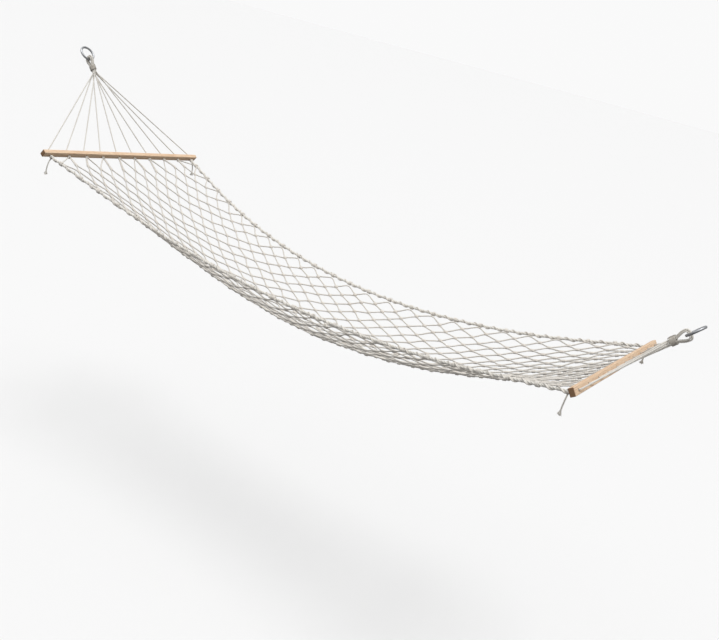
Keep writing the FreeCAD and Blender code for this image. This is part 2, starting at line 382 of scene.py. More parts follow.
@dataclass(frozen=True)
class PineFinish:
    """Sanded pine with darker end grain; shift moves the grain so that two bars differ."""

    name: str
    spring: tuple[float, float, float] = (0.90, 0.68, 0.48)
    summer: tuple[float, float, float] = (0.67, 0.41, 0.24)
    knot: tuple[float, float, float] = (0.30, 0.16, 0.08)
    end_grain: tuple[float, float, float] = (0.30, 0.17, 0.09)
    half_length: float = 0.4
    end_fade: float = 0.003
    end_full: float = 0.0003
    shift: float = 0.0

    def build(self) -> bpy.types.Material:
        """Build the material."""
        board, shader, material = start_material(self.name)
        grain = place_group(board, EFFECTS.grain, Spring=self.spring, Summer=self.summer,
                            Knot=self.knot, Shift=self.shift)
        split = board.add("ShaderNodeSeparateXYZ")
        board.wire(board.add("ShaderNodeTexCoord").outputs["Object"], split.inputs[0])
        reach = board.math("ABSOLUTE", split.outputs[1])
        end = board.add("ShaderNodeMapRange", interpolation_type="SMOOTHSTEP")
        board.wire(reach, end.inputs["Value"])
        end.inputs["From Min"].default_value = self.half_length - self.end_fade
        end.inputs["From Max"].default_value = self.half_length - self.end_full
        colour = board.blend(end.outputs[0], grain.outputs["Color"], self.end_grain)
        board.wire(colour, shader.inputs["Base Color"])
        board.wire(grain.outputs["Roughness"], shader.inputs["Roughness"])
        bump = board.add("ShaderNodeBump", Strength=0.25, Distance=0.0006)
        board.wire(grain.outputs["Height"], bump.inputs["Height"])
        board.wire(bump.outputs[0], shader.inputs["Normal"])
        shader.inputs["Specular IOR Level"].default_value = 0.35
        return material


@dataclass(frozen=True)
class PlatedSteelFinish:
    """Dull zinc on round steel wire."""

    name: str
    bright: tuple[float, float, float] = (0.62, 0.63, 0.65)
    dull: tuple[float, float, float] = (0.33, 0.34, 0.36)

    def build(self) -> bpy.types.Material:
        """Build the material."""
        board, shader, material = start_material(self.name)
        patina = place_group(board, EFFECTS.patina, Bright=self.bright, Dull=self.dull)
        board.wire(patina.outputs["Color"], shader.inputs["Base Color"])
        board.wire(patina.outputs["Roughness"], shader.inputs["Roughness"])
        bump = board.add("ShaderNodeBump", Strength=0.15, Distance=0.0003)
        board.wire(patina.outputs["Height"], bump.inputs["Height"])
        board.wire(bump.outputs[0], shader.inputs["Normal"])
        shader.inputs["Metallic"].default_value = 1.0
        return material


@dataclass(frozen=True)
class FloorFinish:
    """The pale floor; it throws less light back up than it shows, as a far-off floor would."""

    name: str
    seen: tuple[float, float, float] = (0.84, 0.84, 0.84)
    bounced: tuple[float, float, float] = (0.16, 0.16, 0.16)

    def build(self) -> bpy.types.Material:
        """Build the material."""
        board, shader, material = start_material(self.name)
        light = board.add("ShaderNodeLightPath")
        tone = board.blend(light.outputs["Is Camera Ray"], self.bounced, self.seen)
        board.wire(tone, shader.inputs["Base Color"])
        shader.inputs["Roughness"].default_value = 0.9
        shader.inputs["Specular IOR Level"].default_value = 0.1
        return material


# ---------------------------------------------------------------- lines and ropes


def smooth_line(points: Sequence[Vector], resolution: int = 12) -> Line:
    """The points of a smooth line that has the given control points.

    Args:
        points: control points, in metres.
        resolution: points for each span.

    Returns:
        An array with one row for each point.
    """
    data = bpy.data.curves.new("route", "CURVE")
    data.dimensions = "3D"
    data.resolution_u = resolution
    spline = data.splines.new("NURBS")
    spline.points.add(len(points) - 1)
    for target, point in zip(spline.points, points):
        target.co = (*point, 1.0)
    spline.order_u = 3
    spline.use_endpoint_u = True
    carrier = bpy.data.objects.new("route", data)
    mesh = bpy.data.meshes.new_from_object(carrier)
    line = np.array([v.co for v in mesh.vertices], float)
    bpy.data.objects.remove(carrier)
    bpy.data.curves.remove(data)
    bpy.data.meshes.remove(mesh)
    return line


def reach_along(line: Line) -> np.ndarray:
    """How far along a line each of its points is, in metres."""
    return np.concatenate([[0.0], np.cumsum(np.linalg.norm(np.diff(line, axis=0), axis=1))])


def even_line(line: Line, step: float) -> Line:
    """The same line with its points about one step apart.

    Args:
        line: the points of a line.
        step: the distance wanted, in metres.

    Returns:
        The new points.
    """
    reach = reach_along(line)
    count = max(3, int(round(reach[-1] / step)) + 1)
    where = np.linspace(0.0, reach[-1], count)
    return np.stack([np.interp(where, reach, line[:, axis]) for axis in range(3)], axis=1)


def carried_frames(line: Line) -> tuple[np.ndarray, np.ndarray]:
    """Two directions square to a line, carried along it without turning.

    Args:
        line: the points of a line.

    Returns:
        Both directions at every point.
    """
    tangents = np.gradient(line, axis=0)
    tangents /= np.linalg.norm(tangents, axis=1)[:, None]
    start = np.array([0.0, 0.0, 1.0]) if abs(tangents[0][2]) < 0.9 else np.array([1.0, 0.0, 0.0])
    firsts = np.empty_like(line)
    current = start
    for index, tangent in enumerate(tangents):
        current = current - tangent * float(current @ tangent)
        current = current / np.linalg.norm(current)
        firsts[index] = current
    return firsts, np.cross(tangents, firsts)


@dataclass(frozen=True)
class RopeLay:
    """How a rope is laid up, in metres."""

    diameter: float
    pitch: float
    strands: int = 3
    points_per_turn: int = 8
    roundness: int = 1
    twist: Twist = Twist.RIGHT_LAID
    press: float = 1.07

    @property
    def strand_radius(self) -> float:
        """Radius of one strand, a little more than fits, so that the strands press together."""
        reach = 1.0 / math.sin(math.pi / self.strands)
        return self.diameter / 2 / (1 + reach) * self.press

    def strand_lines(self, line: Line, phase: float = 0.0) -> list[Line]:
        """The middle lines of the strands that wind round a line.

        Args:
            line: the rope's own middle line.
            phase: where the first strand starts, in radians.

        Returns:
            One line for each strand.
        """
        line = even_line(line, self.pitch / self.points_per_turn)
        first, second = carried_frames(line)
        reach = reach_along(line)
        radius = self.diameter / 2 - self.strand_radius
        lines = []
        for strand in range(self.strands):
            angle = self.twist.value * 2 * math.pi * reach / self.pitch
            angle = (angle + phase + 2 * math.pi * strand / self.strands)[:, None]
            lines.append(line + radius * (np.cos(angle) * first + np.sin(angle) * second))
        return lines


HARNESS_LAY = RopeLay(diameter=0.005, pitch=0.019)
EDGE_LAY = RopeLay(diameter=0.0095, pitch=0.034, points_per_turn=10)
NET_LAY = RopeLay(diameter=0.0056, pitch=0.020, points_per_turn=6, roundness=0, twist=Twist.LEFT_LAID)
TAIL_LAY = RopeLay(diameter=0.005, pitch=0.019)


def tube_mesh(
    name: str, lines: Iterable[Line], radius: float, roundness: int = 1, swell: Sequence[float] = ()
) -> bpy.types.Mesh:
    """Round tubes along lines, with U along each tube and V round it.

    Args:
        name: the mesh's name.
        lines: the tubes' middle lines.
        radius: the tubes' radius, in metres.
        roundness: 0, 1 or 2 for more sides.
        swell: what the radius is multiplied by at each point of a line; nothing leaves it even.

    Returns:
        The mesh.
    """
    data = bpy.data.curves.new(name, "CURVE")
    data.dimensions = "3D"
    data.bevel_depth = radius
    data.bevel_resolution = roundness
    data.use_fill_caps = True
    for line in lines:
        spline = data.splines.new("POLY")
        spline.points.add(len(line) - 1)
        spline.points.foreach_set("co", np.column_stack([line, np.ones(len(line))]).ravel())
        if swell:
            spline.points.foreach_set("radius", list(swell))
    carrier = bpy.data.objects.new(name, data)
    mesh = bpy.data.meshes.new_from_object(carrier)
    mesh.name = name
    mesh.shade_smooth()
    bpy.data.objects.remove(carrier)
    bpy.data.curves.remove(data)
    return mesh


def bmesh_to_mesh(name: str, shape: bmesh.types.BMesh, smooth: bool = True) -> bpy.types.Mesh:
    """Turn a bmesh into a mesh with its normals outward, and free it.

    Args:
        name: the mesh's name.
        shape: the bmesh.
        smooth: whether it is shaded smooth.

    Returns:
        The mesh.
    """
    bmesh.ops.remove_doubles(shape, verts=shape.verts, dist=1e-6)
    bmesh.ops.recalc_face_normals(shape, faces=shape.faces)
    mesh = bpy.data.meshes.new(name)
    shape.to_mesh(mesh)
    shape.free()
    if smooth:
        mesh.shade_smooth()
    return mesh


def install(
    name: str, mesh: bpy.types.Mesh, material: bpy.types.Material, body: str,
    replaced: Sequence[str] = (),
) -> bpy.types.Object:
    """Put a finished mesh into the scene as a piece of the hammock.

    Args:
        name: the piece's name.
        mesh: its mesh, already in place.
        material: its finish.
        body: the body it rides on.
        replaced: the nodes that it stands for.

    Returns:
        The piece.
    """
    piece = bpy.data.objects.new(name, mesh)
    bpy.context.scene.collection.objects.link(piece)
    mesh.materials.clear()
    mesh.materials.append(material)
    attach(piece, body)
    if replaced:
        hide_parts(*replaced)
    log.info("%s: %d faces on %s", name, len(mesh.polygons), body)
    return piece


# ---------------------------------------------------------------- geometry shared with the frame


@dataclass(frozen=True)
class Hang:
    """The hammock's driving sizes, in metres, in the frame's own axes."""

    slope: float = math.radians(47.0)
    bar_tilt: float = math.radians(36.0)
    head_harness: float = 0.464
    foot_harness: float = 0.242
    bar_spacing: float = 2.140
    edge_sag: float = 0.187
    belly_sag: float = 0.138
    belly_power: float = 0.87
    half_width: float = 0.376
    waist: float = 0.140
    hole_count: int = 10
    hole_pitch: float = 0.082
    knot_reach: float = 0.0164
    edge_knot_reach: float = 0.0184
    tail_turn: float = math.radians(30.0)

    @property
    def pull(self) -> Vector:
        """From the head ring to the head bar."""
        return Vector((math.cos(self.slope), 0.0, -math.sin(self.slope)))

    @property
    def normal(self) -> Vector:
        """Square to the head fan of cords, upward."""
        return Vector((math.sin(self.slope), 0.0, math.cos(self.slope)))

    @property
    def hole_axis(self) -> Vector:
        """Along the holes of the head bar, towards the net."""
        return Vector((math.cos(self.bar_tilt), 0.0, -math.sin(self.bar_tilt)))

    @property
    def head_bar(self) -> Vector:
        """Middle of the head bar."""
        return self.pull * self.head_harness

    @property
    def middle_x(self) -> float:
        """Half way between the bars."""
        return self.head_bar.x + self.bar_spacing / 2

    def harness(self, end: End) -> float:
        """Distance from ring to bar at one end."""
        return self.head_harness if end is End.HEAD else self.foot_harness

    def facing(self, end: End, way: Vector) -> Vector:
        """A direction at the head bar, turned to the end it is for."""
        return way if end is End.HEAD else Vector((-way.x, way.y, way.z))

    def at(self, end: End, point: Vector) -> Vector:
        """A point built at the head bar, moved to the end it is for."""
        if end is End.HEAD:
            return point
        return Vector((2 * self.middle_x - point.x, point.y, point.z))

    def fan_point(self, end: End, pull: float, across: float, normal: float) -> Vector:
        """A point of one end's fan of cords.

        Args:
            end: which end.
            pull: distance from that end's ring centre towards its bar.
            across: distance along Y.
            normal: distance square to the fan, upward.

        Returns:
            The point in the frame.
        """
        start = self.head_bar + self.pull * (pull - self.harness(end))
        return self.at(end, start + Vector((0.0, across, 0.0)) + self.normal * normal)

    def hole_y(self, index: int) -> float:
        """Where a hole is across the hammock."""
        return (index - (self.hole_count - 1) / 2) * self.hole_pitch

    def hole_point(self, end: End, index: int, reach: float) -> Vector:
        """A point on a hole's axis, reach from the bar's middle towards the net."""
        return self.at(end, self.head_bar + Vector((0.0, self.hole_y(index), 0.0)) + self.hole_axis * reach)

    def outer_hole(self, side: Side) -> int:
        """The hole beside one edge rope."""
        return 0 if side is Side.RIGHT else self.hole_count - 1

    def is_outer(self, index: int) -> bool:
        """True for the two holes beside the edge ropes."""
        return index in (0, self.hole_count - 1)

    def knot_point(self, end: End, index: int) -> Vector:
        """Centre of a hole's stopper knot."""
        return self.hole_point(end, index, self.edge_knot_reach if self.is_outer(index) else self.knot_reach)

    def tail_direction(self, side: Side) -> Vector:
        """Which way a loose tail leaves its knot."""
        return Vector((0.0, side.sign * math.sin(self.tail_turn), -math.cos(self.tail_turn)))

    def half_width_at(self, along: float) -> float:
        """Half the bed's width; along is -1 at the head bar and +1 at the foot bar."""
        return self.half_width - self.waist * (1 - along ** 2)

    def bed_point(self, along: float, offset: float) -> Vector:
        """A point of the bed.

        Args:
            along: -1 at the head bar, +1 at the foot bar.
            offset: distance from the middle line, along Y.

        Returns:
            The point in the frame.
        """
        dip = max(0.0, 1 - along ** 2)
        across = min(1.0, abs(offset) / self.half_width_at(along))
        depth = self.edge_sag * dip + self.belly_sag * dip ** self.belly_power * (1 - across ** 2)
        return Vector((self.middle_x + along * self.bar_spacing / 2, offset, self.head_bar.z - depth))

    def bed_offset(self, along: float, share: float, samples: int = 49) -> float:
        """The offset along Y of a point part of the way round the bed's curve.

        Args:
            along: -1 at the head bar, +1 at the foot bar.
            share: -1 and +1 at the edges, even steps of it being even steps round the curve.
            samples: how finely the curve is measured.

        Returns:
            The offset, in metres.
        """
        half = self.half_width_at(along)
        offsets = np.linspace(0.0, half, samples)
        heights = [self.bed_point(along, offset).z for offset in offsets]
        reach = reach_along(np.column_stack([offsets, heights]))
        return math.copysign(float(np.interp(abs(share) * reach[-1], reach, offsets)), share)

    def bed_direction(self, along: float, offset: float, step: float = 0.01) -> Vector:
        """Which way the bed runs lengthwise at a point, as a unit vector."""
        return (self.bed_point(along + step, offset) - self.bed_point(along - step, offset)).normalized()


HANG = Hang()


# ---------------------------------------------------------------- sub-assemblies


@dataclass
class HangingRing:
    """A welded ring of round wire."""

    end: End
    ring_radius: float = 0.028
    wire_radius: float = 0.004
    facets: int = 96
    weld_bulge: float = 0.0005
    weld_width: float = 0.12
    wire_sides: int = 20

    def build_mesh(self) -> bpy.types.Mesh:
        """Spin a circle of wire round the eye and raise the weld on the far side."""
        shape = bmesh.new()
        made = bmesh.ops.create_circle(shape, segments=self.wire_sides, radius=self.wire_radius)
        bmesh.ops.rotate(shape, verts=made["verts"], matrix=Matrix.Rotation(math.pi / 2, 3, "X"))
        bmesh.ops.translate(shape, verts=made["verts"], vec=(self.ring_radius, 0.0, 0.0))
        bmesh.ops.spin(shape, geom=shape.verts[:] + shape.edges[:], cent=(0, 0, 0), axis=(0, 0, 1),
                       angle=2 * math.pi, steps=self.facets, use_merge=True)
        for vert in shape.verts:
            angle = math.atan2(vert.co.y, -vert.co.x)
            middle = Vector((vert.co.x, vert.co.y, 0.0)).normalized() * self.ring_radius
            swell = self.weld_bulge * math.exp(-(angle / self.weld_width) ** 2) / self.wire_radius
            vert.co = middle + (vert.co - middle) * (1 + swell)
        across = Vector((0.0, 1.0, 0.0))
        pull = HANG.facing(self.end, HANG.pull)
        turn = Matrix((pull, across, pull.cross(across))).transposed()
        bmesh.ops.transform(shape, verts=shape.verts, matrix=turn.to_4x4())
        bmesh.ops.translate(shape, verts=shape.verts, vec=HANG.fan_point(self.end, 0.0, 0.0, 0.0))
        return bmesh_to_mesh(f"{self.end.value}_ring_wire", shape)

    def dress(self, steel: bpy.types.Material) -> None:
        """Install the ring."""
        install(f"{self.end.value}_ring_wire", self.build_mesh(), steel, f"{self.end.value}_hook_ring",
                [f"{self.end.value}_ring"])


@dataclass
class Harness:
    """The five cords that fan out from a ring to the ten holes of its bar."""

    end: End
    layer_pitch: float = 0.0052
    layer_step: float = 0.0049
    bight_radius: float = 0.0122
    crown: float = 0.0187
    bight_end: float = 0.036
    neck_start: float = 0.057
    neck_end: float = 0.077
    fan_corner: float = 0.087
    hole_corner: float = 0.0134
    leg_reach: float = 0.014
    hole_reach: float = 0.004
    cord_count: int = 5
    phase_step: float = 0.7

    def leg(self, index: int, across: float, neck: float, bight: float, crown: float) -> list[Vector]:
        """Control points of one leg, from its knot to the crown of its bight.

        Args:
            index: the hole that the leg goes to.
            across: the cord's place in the bundle, along Y.
            neck: its place in the bundle, square to the fan.
            bight: half the width of its bight, with the same sign as neck.
            crown: the bight's highest point, from the ring centre along the pull.

        Returns:
            The points in the frame.
        """
        hole = HANG.hole_point(self.end, index, -self.hole_corner)
        fan = HANG.fan_point(self.end, self.fan_corner, across, neck)
        run = (fan - hole).normalized() * self.leg_reach
        return [
            HANG.knot_point(self.end, index),
            HANG.hole_point(self.end, index, -self.hole_reach),
            hole,
            hole + run,
            fan - run,
            fan,
            HANG.fan_point(self.end, self.neck_end, across, neck),
            HANG.fan_point(self.end, self.neck_start, across, neck),
            HANG.fan_point(self.end, self.bight_end, across, bight),
            HANG.fan_point(self.end, crown, across, bight),
        ]

    def cord_line(self, loop: int) -> Line:
        """The middle line of one cord, from hole to ring and back to the next hole."""
        across = (loop - (self.cord_count - 1) / 2) * self.layer_pitch / 2
        layer = loop % 2
        bight = self.bight_radius + layer * self.layer_step
        neck = self.layer_pitch / 2 + layer * self.layer_step
        crown = self.crown - layer * self.layer_step
        upper, lower = (2 * loop, 2 * loop + 1) if loop <= 2 else (2 * loop + 1, 2 * loop)
        first = self.leg(upper, across, neck, bight, crown)
        second = self.leg(lower, across, -neck, -bight, crown)
        return smooth_line(first + second[::-1], resolution=16)

    def dress(self, cotton: bpy.types.Material) -> None:
        """Lay up and install every cord."""
        for loop in range(self.cord_count):
            lines = HARNESS_LAY.strand_lines(self.cord_line(loop), phase=self.phase_step * loop)
            name = f"{self.end.value}_harness_cord_{loop + 1}"
            mesh = tube_mesh(f"{name}_laid", lines, HARNESS_LAY.strand_radius, HARNESS_LAY.roundness)
            install(f"{name}_laid", mesh, cotton, BED_BODY, [name])


@dataclass
class Binding:
    """Turns of twine that hold the ten legs together below a ring.

    Each row of the tuck is a share of the winding's length, a distance past it, a distance
    across and a lift above the turns.
    """

    end: End
    half_y: float = 0.0112
    half_n: float = 0.0126
    start: float = 0.0572
    length: float = 0.0196
    twine_radius: float = 0.00125
    points_per_turn: int = 20
    tuck: tuple[tuple[float, float, float, float], ...] = (
        (0.0, -0.004, 0.002, -0.0005), (0.0, 0.0, 0.002, 0.0022), (0.5, 0.0, 0.001, 0.0024),
        (1.0, 0.0, 0.0, 0.0020), (1.0, 0.004, 0.0, -0.001))

    def dress(self, twine: bpy.types.Material) -> None:
        """Wind the twine, with its last end tucked under the turns."""
        turns = self.length / (2 * self.twine_radius)
        count = int(turns * self.points_per_turn)
        points = []
        for index in range(count + 1):
            angle = 2 * math.pi * index / self.points_per_turn
            along = self.start + self.twine_radius + (self.length - 2 * self.twine_radius) * index / count
            points.append(HANG.fan_point(self.end, along, self.half_y * math.cos(angle),
                                         self.half_n * math.sin(angle)))
        winding = np.array([tuple(p) for p in points])
        tuck = smooth_line([
            HANG.fan_point(self.end, self.start + share * self.length + past, across, self.half_n + lift)
            for share, past, across, lift in self.tuck])
        name = f"{self.end.value}_binding"
        mesh = tube_mesh(f"{name}_twine", [winding, tuck], self.twine_radius, roundness=2)
        install(f"{name}_twine", mesh, twine, BED_BODY, [name])


@dataclass
class SpreaderBar:
    """A drilled wooden bar, kept as the frame has it."""

    end: End

    def dress(self, pine: bpy.types.Material) -> None:
        """Give the bar its wood."""
        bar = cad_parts[f"{self.end.value}_spreader_bar"]
        bar = bar if isinstance(bar, bpy.types.Object) else bpy.data.objects[bar]
        bar.data.materials.clear()
        bar.data.materials.append(pine)
        log.info("%s dressed", bar.name)


@dataclass
class StopperKnots:
    """The knots on the net side of a bar."""

    end: End
    cord_radius: float = 0.0024
    reach: float = 0.0068
    edge_reach: float = 0.0088
    points: int = 48
    root_radius: float = 0.0024
    root_reach: float = 0.0105
    depth: float = 1.7
    curve_reach: float = 3.0
    knot_turn: float = 0.9

    def tail_root(self, side: Side) -> Line:
        """The stretch of a loose tail that comes out of its knot."""
        centre = HANG.knot_point(self.end, HANG.outer_hole(side))
        reach = HANG.tail_direction(side) * self.root_reach
        return np.array([tuple(centre + reach * share) for share in (0.0, 0.5, 1.0)])

    def knot_line(self, centre: Vector, reach: float, turn: float) -> Line:
        """The line of an overhand knot pulled tight round its own centre.

        Args:
            centre: the knot's middle.
            reach: its outside radius, in metres.
            turn: how far it is turned about the hole's axis, in radians.

        Returns:
            The closed line.
        """
        scale = (reach - self.cord_radius * reach / self.reach) / self.curve_reach
        axis = HANG.facing(self.end, HANG.hole_axis)
        first = Vector((0.0, 1.0, 0.0))
        second = axis.cross(first)
        line = []
        for index in range(self.points + 1):
            t = 2 * math.pi * index / self.points
            a = math.sin(t + turn) + 2 * math.sin(2 * t - turn)
            b = math.cos(t + turn) - 2 * math.cos(2 * t - turn)
            point = centre + (first * a + second * b - axis * self.depth * math.sin(3 * t)) * scale
            line.append(tuple(point))
        return np.array(line)

    def dress(self, cotton: bpy.types.Material) -> None:
        """Tie and install the knots."""
        inner, outer = [], []
        for index in range(HANG.hole_count):
            is_outer = HANG.is_outer(index)
            reach = self.edge_reach if is_outer else self.reach
            line = self.knot_line(HANG.knot_point(self.end, index), reach, self.knot_turn * index)
            (outer if is_outer else inner).append(line)
        name = f"{self.end.value}_stopper_knots"
        mesh = tube_mesh(f"{name}_tied", inner, self.cord_radius, roundness=2)
        install(f"{name}_tied", mesh, cotton, BED_BODY, [name])
        mesh = tube_mesh(f"{self.end.value}_edge_knots_tied", outer,
                         self.cord_radius * self.edge_reach / self.reach, roundness=2)
        install(f"{self.end.value}_edge_knots_tied", mesh, cotton, BED_BODY)
        mesh = tube_mesh(f"{self.end.value}_tail_roots", [self.tail_root(side) for side in Side],
                         self.root_radius, roundness=2)
        install(f"{self.end.value}_tail_roots", mesh, cotton, BED_BODY)


@dataclass
class EdgeRope:
    """The thick rope along one edge of the net."""

    side: Side
    stations: int = 13
    first_gap: float = 0.090

    def line(self) -> Line:
        """The rope's middle line, from knot to knot."""
        index = HANG.outer_hole(self.side)
        reach = 1 - 2 * self.first_gap / HANG.bar_spacing
        inner = []
        for station in range(self.stations):
            along = reach * (2 * station / (self.stations - 1) - 1)
            inner.append(HANG.bed_point(along, self.side.sign * HANG.half_width_at(along)))
        ends = [HANG.knot_point(End.HEAD, index), HANG.knot_point(End.FOOT, index)]
        return smooth_line([ends[0]] + inner + [ends[1]], resolution=24)

    def dress(self, cotton: bpy.types.Material) -> None:
        """Lay up and install the rope."""
        lines = EDGE_LAY.strand_lines(self.line())
        name = f"{self.side.value}_edge_rope"
        mesh = tube_mesh(f"{name}_laid", lines, EDGE_LAY.strand_radius, EDGE_LAY.roundness)
        install(f"{name}_laid", mesh, cotton, BED_BODY, [name])


@dataclass
class RopeNet:
    """The knotted net: cords that run from bar to bar and meet their neighbours in turn."""

    cord_count: int = 24
    cords_per_hole: int = 3
    band_size: int = 6
    rows: int = 46
    phase_step: float = 0.5
    knot_half: float = 0.0080
    pair_gap: float = 0.0028
    edge_gap: float = 0.0078
    root_gap: float = 0.0032
    lump_length: float = 0.0078
    lump_radius: float = 0.0054
    lump_swell: tuple[float, ...] = (0.45, 1.0, 0.84, 1.0, 0.45)
    lacing_reach: float = 0.0063
    lacing_radius: float = 0.0020
    lacing_pitch: float = 0.046
    lacing_step: float = 0.002
    lacing_points: int = 14
    tie_turns: float = 2.5
    tie_length: float = 0.0105
    stray: tuple[float, float, float] = (0.005, 0.0025, 0.0025)
    seed: int = 11
    places: dict[tuple[int, int], tuple[float, float, float]] = field(default_factory=dict)

    def __post_init__(self) -> None:
        """Place every knot, a little unevenly."""
        rng = random.Random(self.seed)
        for row in range(self.rows):
            for low in range(-1, self.cord_count):
                shift = [rng.uniform(-most, most) for most in self.stray]
                self.places[row, low] = self.place_knot(row, low, shift)

    def row_along(self, row: int) -> float:
        """Where a row of knots is, from -1 at the head bar to +1 at the foot bar."""
        clear = 1 - 2 * HANG.knot_reach / HANG.bar_spacing
        return clear * (2 * (row + 1) / (self.rows + 1) - 1)

    def lower_of_pair(self, row: int, cord: int) -> int:
        """The lower-numbered cord of the pair that a cord is tied in at a row; -1 is the right edge."""
        return cord - ((cord + row + 1) % 2)

    def place_knot(self, row: int, low: int, shift: Sequence[float]) -> tuple[float, float, float]:
        """A knot's place along, its offset along Y and its lift.

        Args:
            row: the row of knots.
            low: the lower-numbered cord of the pair.
            shift: how far this knot strays along, across and upward, in metres.

        Returns:
            The place from -1 to +1, and the offset and the lift in metres.
        """
        along = self.row_along(row) + shift[0] * 2 / HANG.bar_spacing
        if self.is_edge(low):
            return along, math.copysign(HANG.half_width_at(along), low), 0.0
        share = 2 * (low + 1.5) / (self.cord_count + 1) - 1
        return along, HANG.bed_offset(along, share) + shift[1], shift[2]

    def is_edge(self, low: int) -> bool:
        """True if a knot ties its cord to an edge rope."""
        return low < 0 or low >= self.cord_count - 1

    def cord_line(self, cord: int) -> Line:
        """The middle line of one cord of the net."""
        index = 1 + cord // self.cords_per_hole
        gap = Vector((0.0, (cord % self.cords_per_hole - 1) * self.root_gap, 0.0))
        points = [HANG.knot_point(End.HEAD, index) + gap]
        for row in range(self.rows):
            low = self.lower_of_pair(row, cord)
            along, offset, lift = self.places[row, low]
            side = -1 if cord == low else 1
            offset += side * (self.edge_gap if self.is_edge(low) else self.pair_gap)
            for step in (-1, 1):
                spot = HANG.bed_point(along + step * 2 * self.knot_half / HANG.bar_spacing, offset)
                points.append(spot + Vector((0.0, 0.0, lift)))
        points.append(HANG.knot_point(End.FOOT, index) + gap)
        return smooth_line(points, resolution=5)

    def knot_mesh(self) -> bpy.types.Mesh:
        """Every knot of the net as a small pinched lump, few-sided because it is repeated."""
        lines = []
        for row in range(self.rows):
            for low in range(self.cord_count - 1):
                if self.lower_of_pair(row, low) == low:
                    along, offset, lift = self.places[row, low]
                    middle = HANG.bed_point(along, offset) + Vector((0.0, 0.0, lift))
                    ahead = HANG.bed_direction(along, offset) * self.lump_length
                    shares = np.linspace(-1.0, 1.0, len(self.lump_swell))
                    lines.append(np.array([tuple(middle + ahead * share) for share in shares]))
        return tube_mesh("net_knots", lines, self.lump_radius, swell=self.lump_swell)

    def edge_lacing(self, side: Side) -> Line:
        """The cord that winds along an edge rope, with a few tight turns where the net is tied to it."""
        rope = even_line(EdgeRope(side).line(), self.lacing_step)
        low = -1 if side is Side.RIGHT else self.cord_count - 1
        cord = max(low, 0)
        reach = np.arange(len(rope)) * self.lacing_step
        turns = reach / self.lacing_pitch
        for row in range(self.rows):
            if self.lower_of_pair(row, cord) == low:
                knot = np.array(HANG.bed_point(*self.places[row, low][:2]))
                centre = reach[np.linalg.norm(rope - knot, axis=1).argmin()]
                turns += self.tie_turns * np.clip((reach - centre) / self.tie_length + 0.5, 0.0, 1.0)
        first, second = carried_frames(rope)
        stations = np.linspace(0.0, turns[-1], int(turns[-1] * self.lacing_points))
        columns = [np.interp(stations, turns, table[:, axis])
                   for table in (rope, first, second) for axis in range(3)]
        middle, out, up = (np.stack(columns[start:start + 3], axis=1) for start in (0, 3, 6))
        angle = 2 * math.pi * stations[:, None]
        return middle + self.lacing_reach * (np.cos(angle) * out + np.sin(angle) * up)

    def dress(self, cotton: bpy.types.Material, knotted: bpy.types.Material) -> None:
        """Lay up the cords, tie them and install the net."""
        for band, first in enumerate(range(0, self.cord_count, self.band_size)):
            lines = []
            for cord in range(first, first + self.band_size):
                lines += NET_LAY.strand_lines(self.cord_line(cord), phase=self.phase_step * cord)
            name = f"net_cords_{band + 1}"
            mesh = tube_mesh(name, lines, NET_LAY.strand_radius, NET_LAY.roundness)
            replaced = ["bed_net", "head_net_end_loops", "foot_net_end_loops"] if band == 0 else []
            install(name, mesh, cotton, BED_BODY, replaced)
        install("net_knots", self.knot_mesh(), knotted, BED_BODY)
        for side in Side:
            name = f"{side.value}_edge_lacing"
            mesh = tube_mesh(name, [self.edge_lacing(side)], self.lacing_radius)
            install(name, mesh, cotton, BED_BODY)


@dataclass
class LooseTail:
    """The loose end of an edge knot, hanging beside its bar."""

    end: End
    side: Side
    run: float = 0.023
    knot_gap: float = 0.0093
    diameter: float = 0.005
    fray_count: int = 60
    fray_length: float = 0.015
    fray_radius: float = 0.0006
    fray_spread: float = 0.0085
    fray_root: float = 0.004
    root_share: float = 0.8
    bend_share: float = 0.3
    shortest: float = 0.6
    narrowest: float = 0.5

    def fray_lines(self, tip: Vector) -> list[Line]:
        """The loose yarns at the cut end, which start inside the tail."""
        rng = random.Random(f"{self.end.value} {self.side.value}")
        lines = []
        for _ in range(self.fray_count):
            angle, reach = rng.uniform(0, 2 * math.pi), math.sqrt(rng.random())
            way = Vector((math.cos(angle), math.sin(angle), 0.0)) * reach
            inside = way * (self.diameter / 2 - self.fray_radius) * self.root_share
            drop = Vector((0.0, 0.0, self.fray_length * rng.uniform(self.shortest, 1.0)))
            lines.append(smooth_line([
                tip + inside + Vector((0.0, 0.0, self.fray_root)),
                tip + inside - drop * self.bend_share,
                tip + way * self.fray_spread * rng.uniform(self.narrowest, 1.0) - drop], resolution=4))
        return lines

    def dress(self, cotton: bpy.types.Material) -> None:
        """Hang and install the tail."""
        outward = HANG.tail_direction(self.side)
        start = HANG.knot_point(self.end, HANG.outer_hole(self.side)) + outward * self.knot_gap
        corner = start + outward * self.run
        line = smooth_line([start, corner, corner + Vector((0.0, 0.0, -self.run))], resolution=16)
        name = f"{self.end.value}_{self.side.value}_tail"
        lines = TAIL_LAY.strand_lines(line)
        mesh = tube_mesh(f"{name}_laid", lines, TAIL_LAY.strand_radius, TAIL_LAY.roundness)
        piece = install(f"{name}_laid", mesh, cotton, BED_BODY, [name])
        fray = install(f"{name}_fray", tube_mesh(f"{name}_fray", self.fray_lines(Vector(line[-1])),
                                                 self.fray_radius), cotton, BED_BODY)


# ---------------------------------------------------------------- stage


@dataclass(frozen=True)
class Lamp:
    """A soft light far away: where it shines from, its spread in degrees and its power."""

    name: str
    place: tuple[float, float, float]
    spread: float
    power: float


